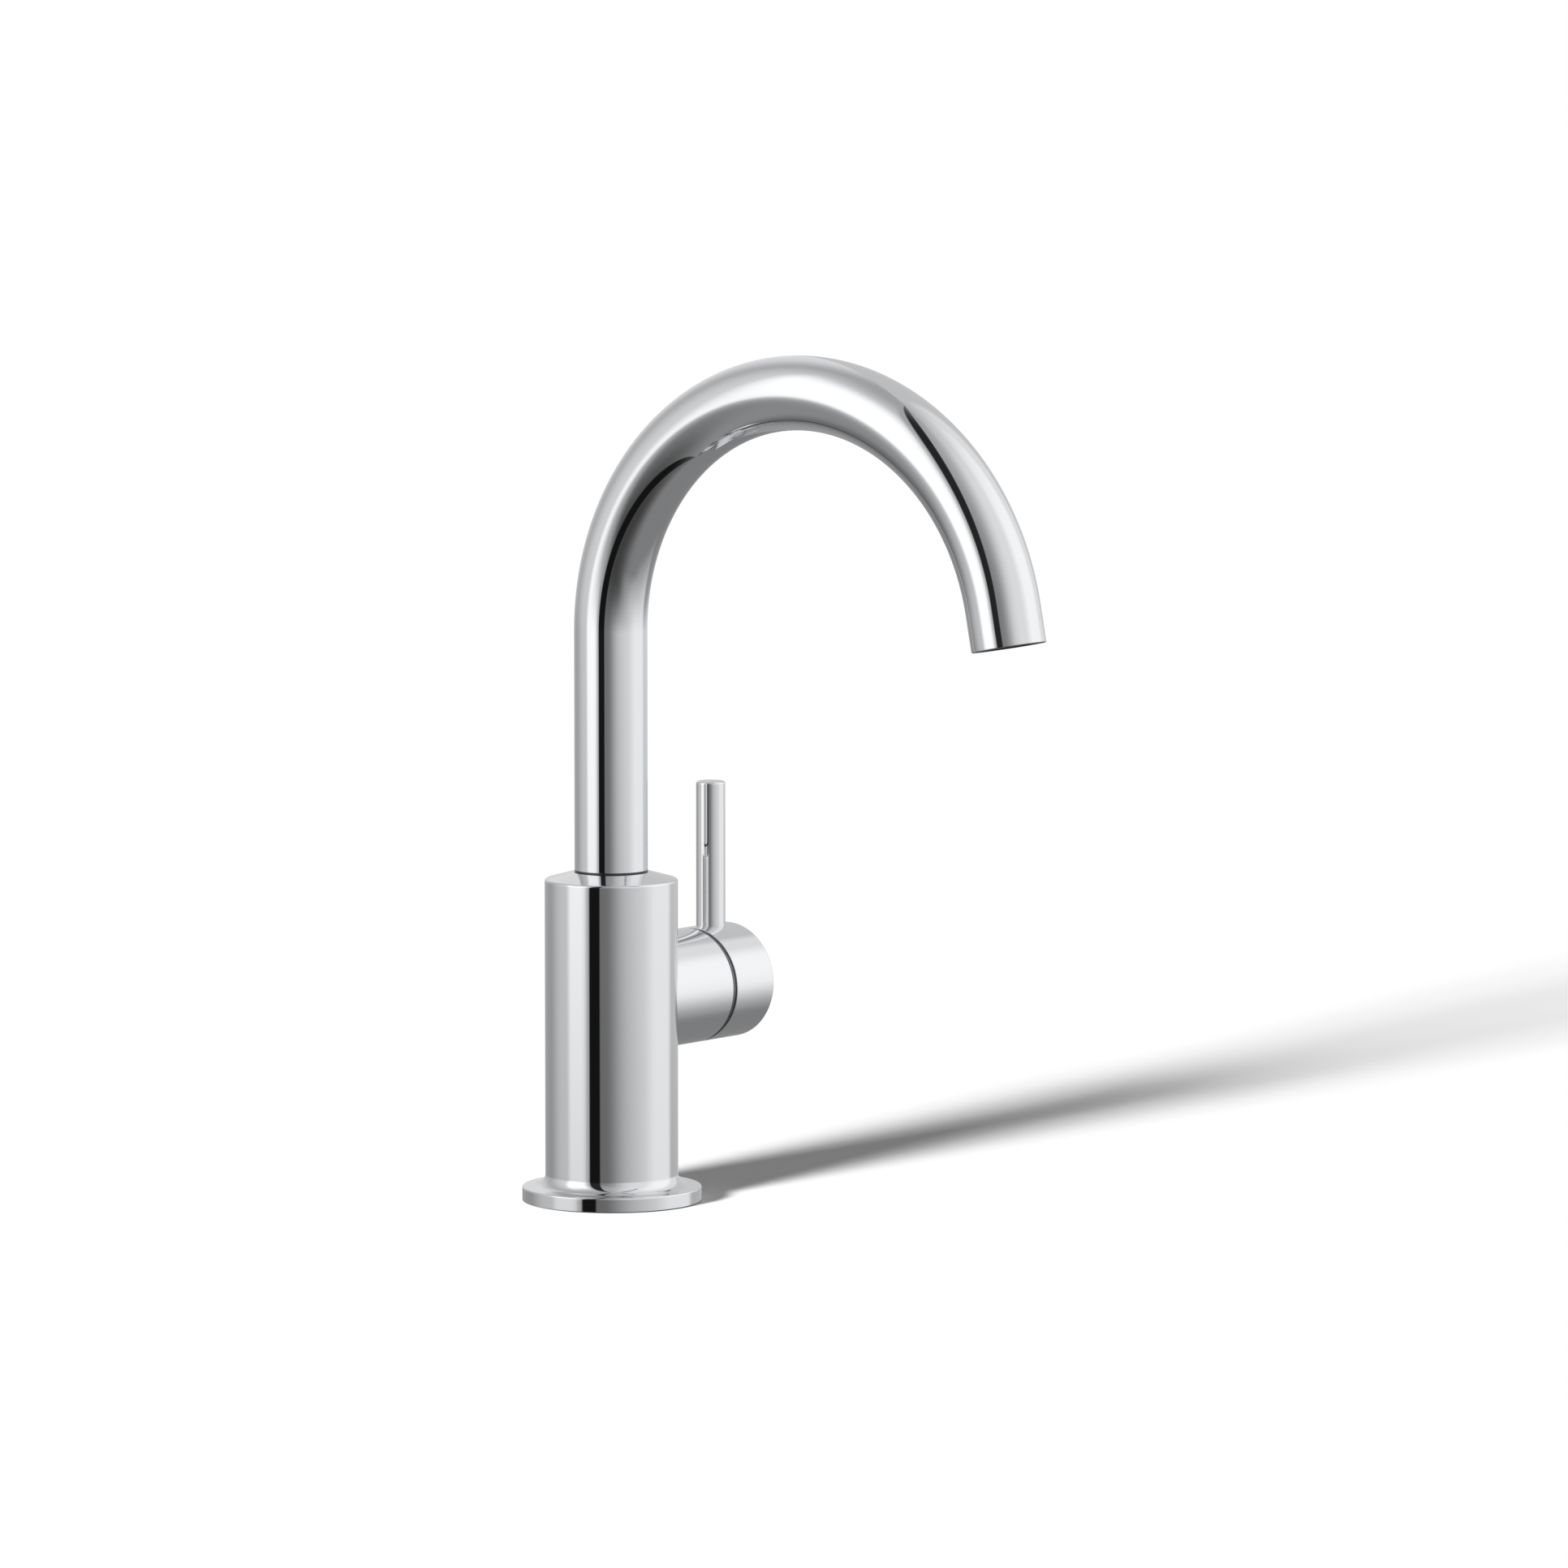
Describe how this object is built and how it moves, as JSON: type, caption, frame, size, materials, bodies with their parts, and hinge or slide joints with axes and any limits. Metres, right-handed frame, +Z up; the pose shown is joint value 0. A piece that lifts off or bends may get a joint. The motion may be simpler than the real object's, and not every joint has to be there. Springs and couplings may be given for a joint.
{
  "type": "water dispenser faucet",
  "caption": "Deck-mounted water dispenser faucet: swivelling gooseneck spout on a round flanged body, side valve with an upright lever, threaded shank and clamp nut below.",
  "frame": {"origin": "on the axis of the body, in the plane of the deck that the foot gasket rests on", "axes": "+Z up along the body; -Y is the way the spout reaches at rest, towards the user; +X is the way the valve and its handle stand out"},
  "size_m": [0.084, 0.1865, 0.3323],
  "materials": {
    "chrome": "mirror polished chrome plate on brass",
    "brass": "machined, unplated",
    "steel": "bright stainless",
    "rubber": "moulded, matt",
    "fibre": "pressed red fibre, matt",
    "ceramic": "lapped alumina ceramic",
    "acetal": "moulded, dark, satin",
    "nylon": "moulded, natural"
  },
  "bodies": {
    "base": {"faucet_body": "chrome", "deck_gasket": "rubber", "shank": "brass", "shank_o_ring": "rubber", "inlet_adapter": "brass", "inlet_washer": "fibre", "inlet_strainer": "nylon", "valve_bonnet": "brass", "bonnet_o_ring": "rubber", "seat_seal": "rubber", "fixed_disc": "ceramic", "hub_glide_ring": "acetal", "spout_bearing_ring": "acetal", "keeper_screw": "steel"},
    "spout": {"spout_tube": "chrome", "spout_adapter": "brass", "spout_o_rings": "rubber", "outlet_bushing": "brass", "aerator_housing": "acetal", "aerator_screens": "steel", "screen_spacer": "nylon", "flow_regulator": "nylon", "aerator_washer": "rubber"},
    "handle": {"handle_hub": "chrome", "lever": "chrome", "hub_set_screw": "steel", "valve_stem": "brass", "stem_o_rings": "rubber", "stem_clip": "steel", "thrust_washer": "nylon", "turning_disc": "ceramic"},
    "clamp": {"rubber_washer": "rubber", "steel_washer": "steel"},
    "nut": {"mounting_nut": "brass"}
  },
  "joints": [
    {"name": "spout_swivel", "type": "hinge", "parent": "base", "child": "spout", "pos_m": [0, 0, 0.09], "axis": [0, 0, 1], "continuous": true},
    {"name": "handle_turn", "type": "hinge", "parent": "base", "child": "handle", "pos_m": [0.048, 0, 0.0615], "axis": [1, 0, 0], "range_deg": [0, 90]},
    {"name": "clamp_travel", "type": "slide", "parent": "base", "child": "clamp", "axis": [0, 0, 1], "range_m": [-0.02, 0.017]},
    {"name": "nut_turn", "type": "hinge", "parent": "clamp", "child": "nut", "pos_m": [0, 0, -0.029], "axis": [0, 0, 1], "range_deg": [-3975, 3380]}
  ],
  "couplings": [
    {"joint": "nut_turn", "follows": "clamp_travel", "rad_per_m": 3463.7}
  ]
}
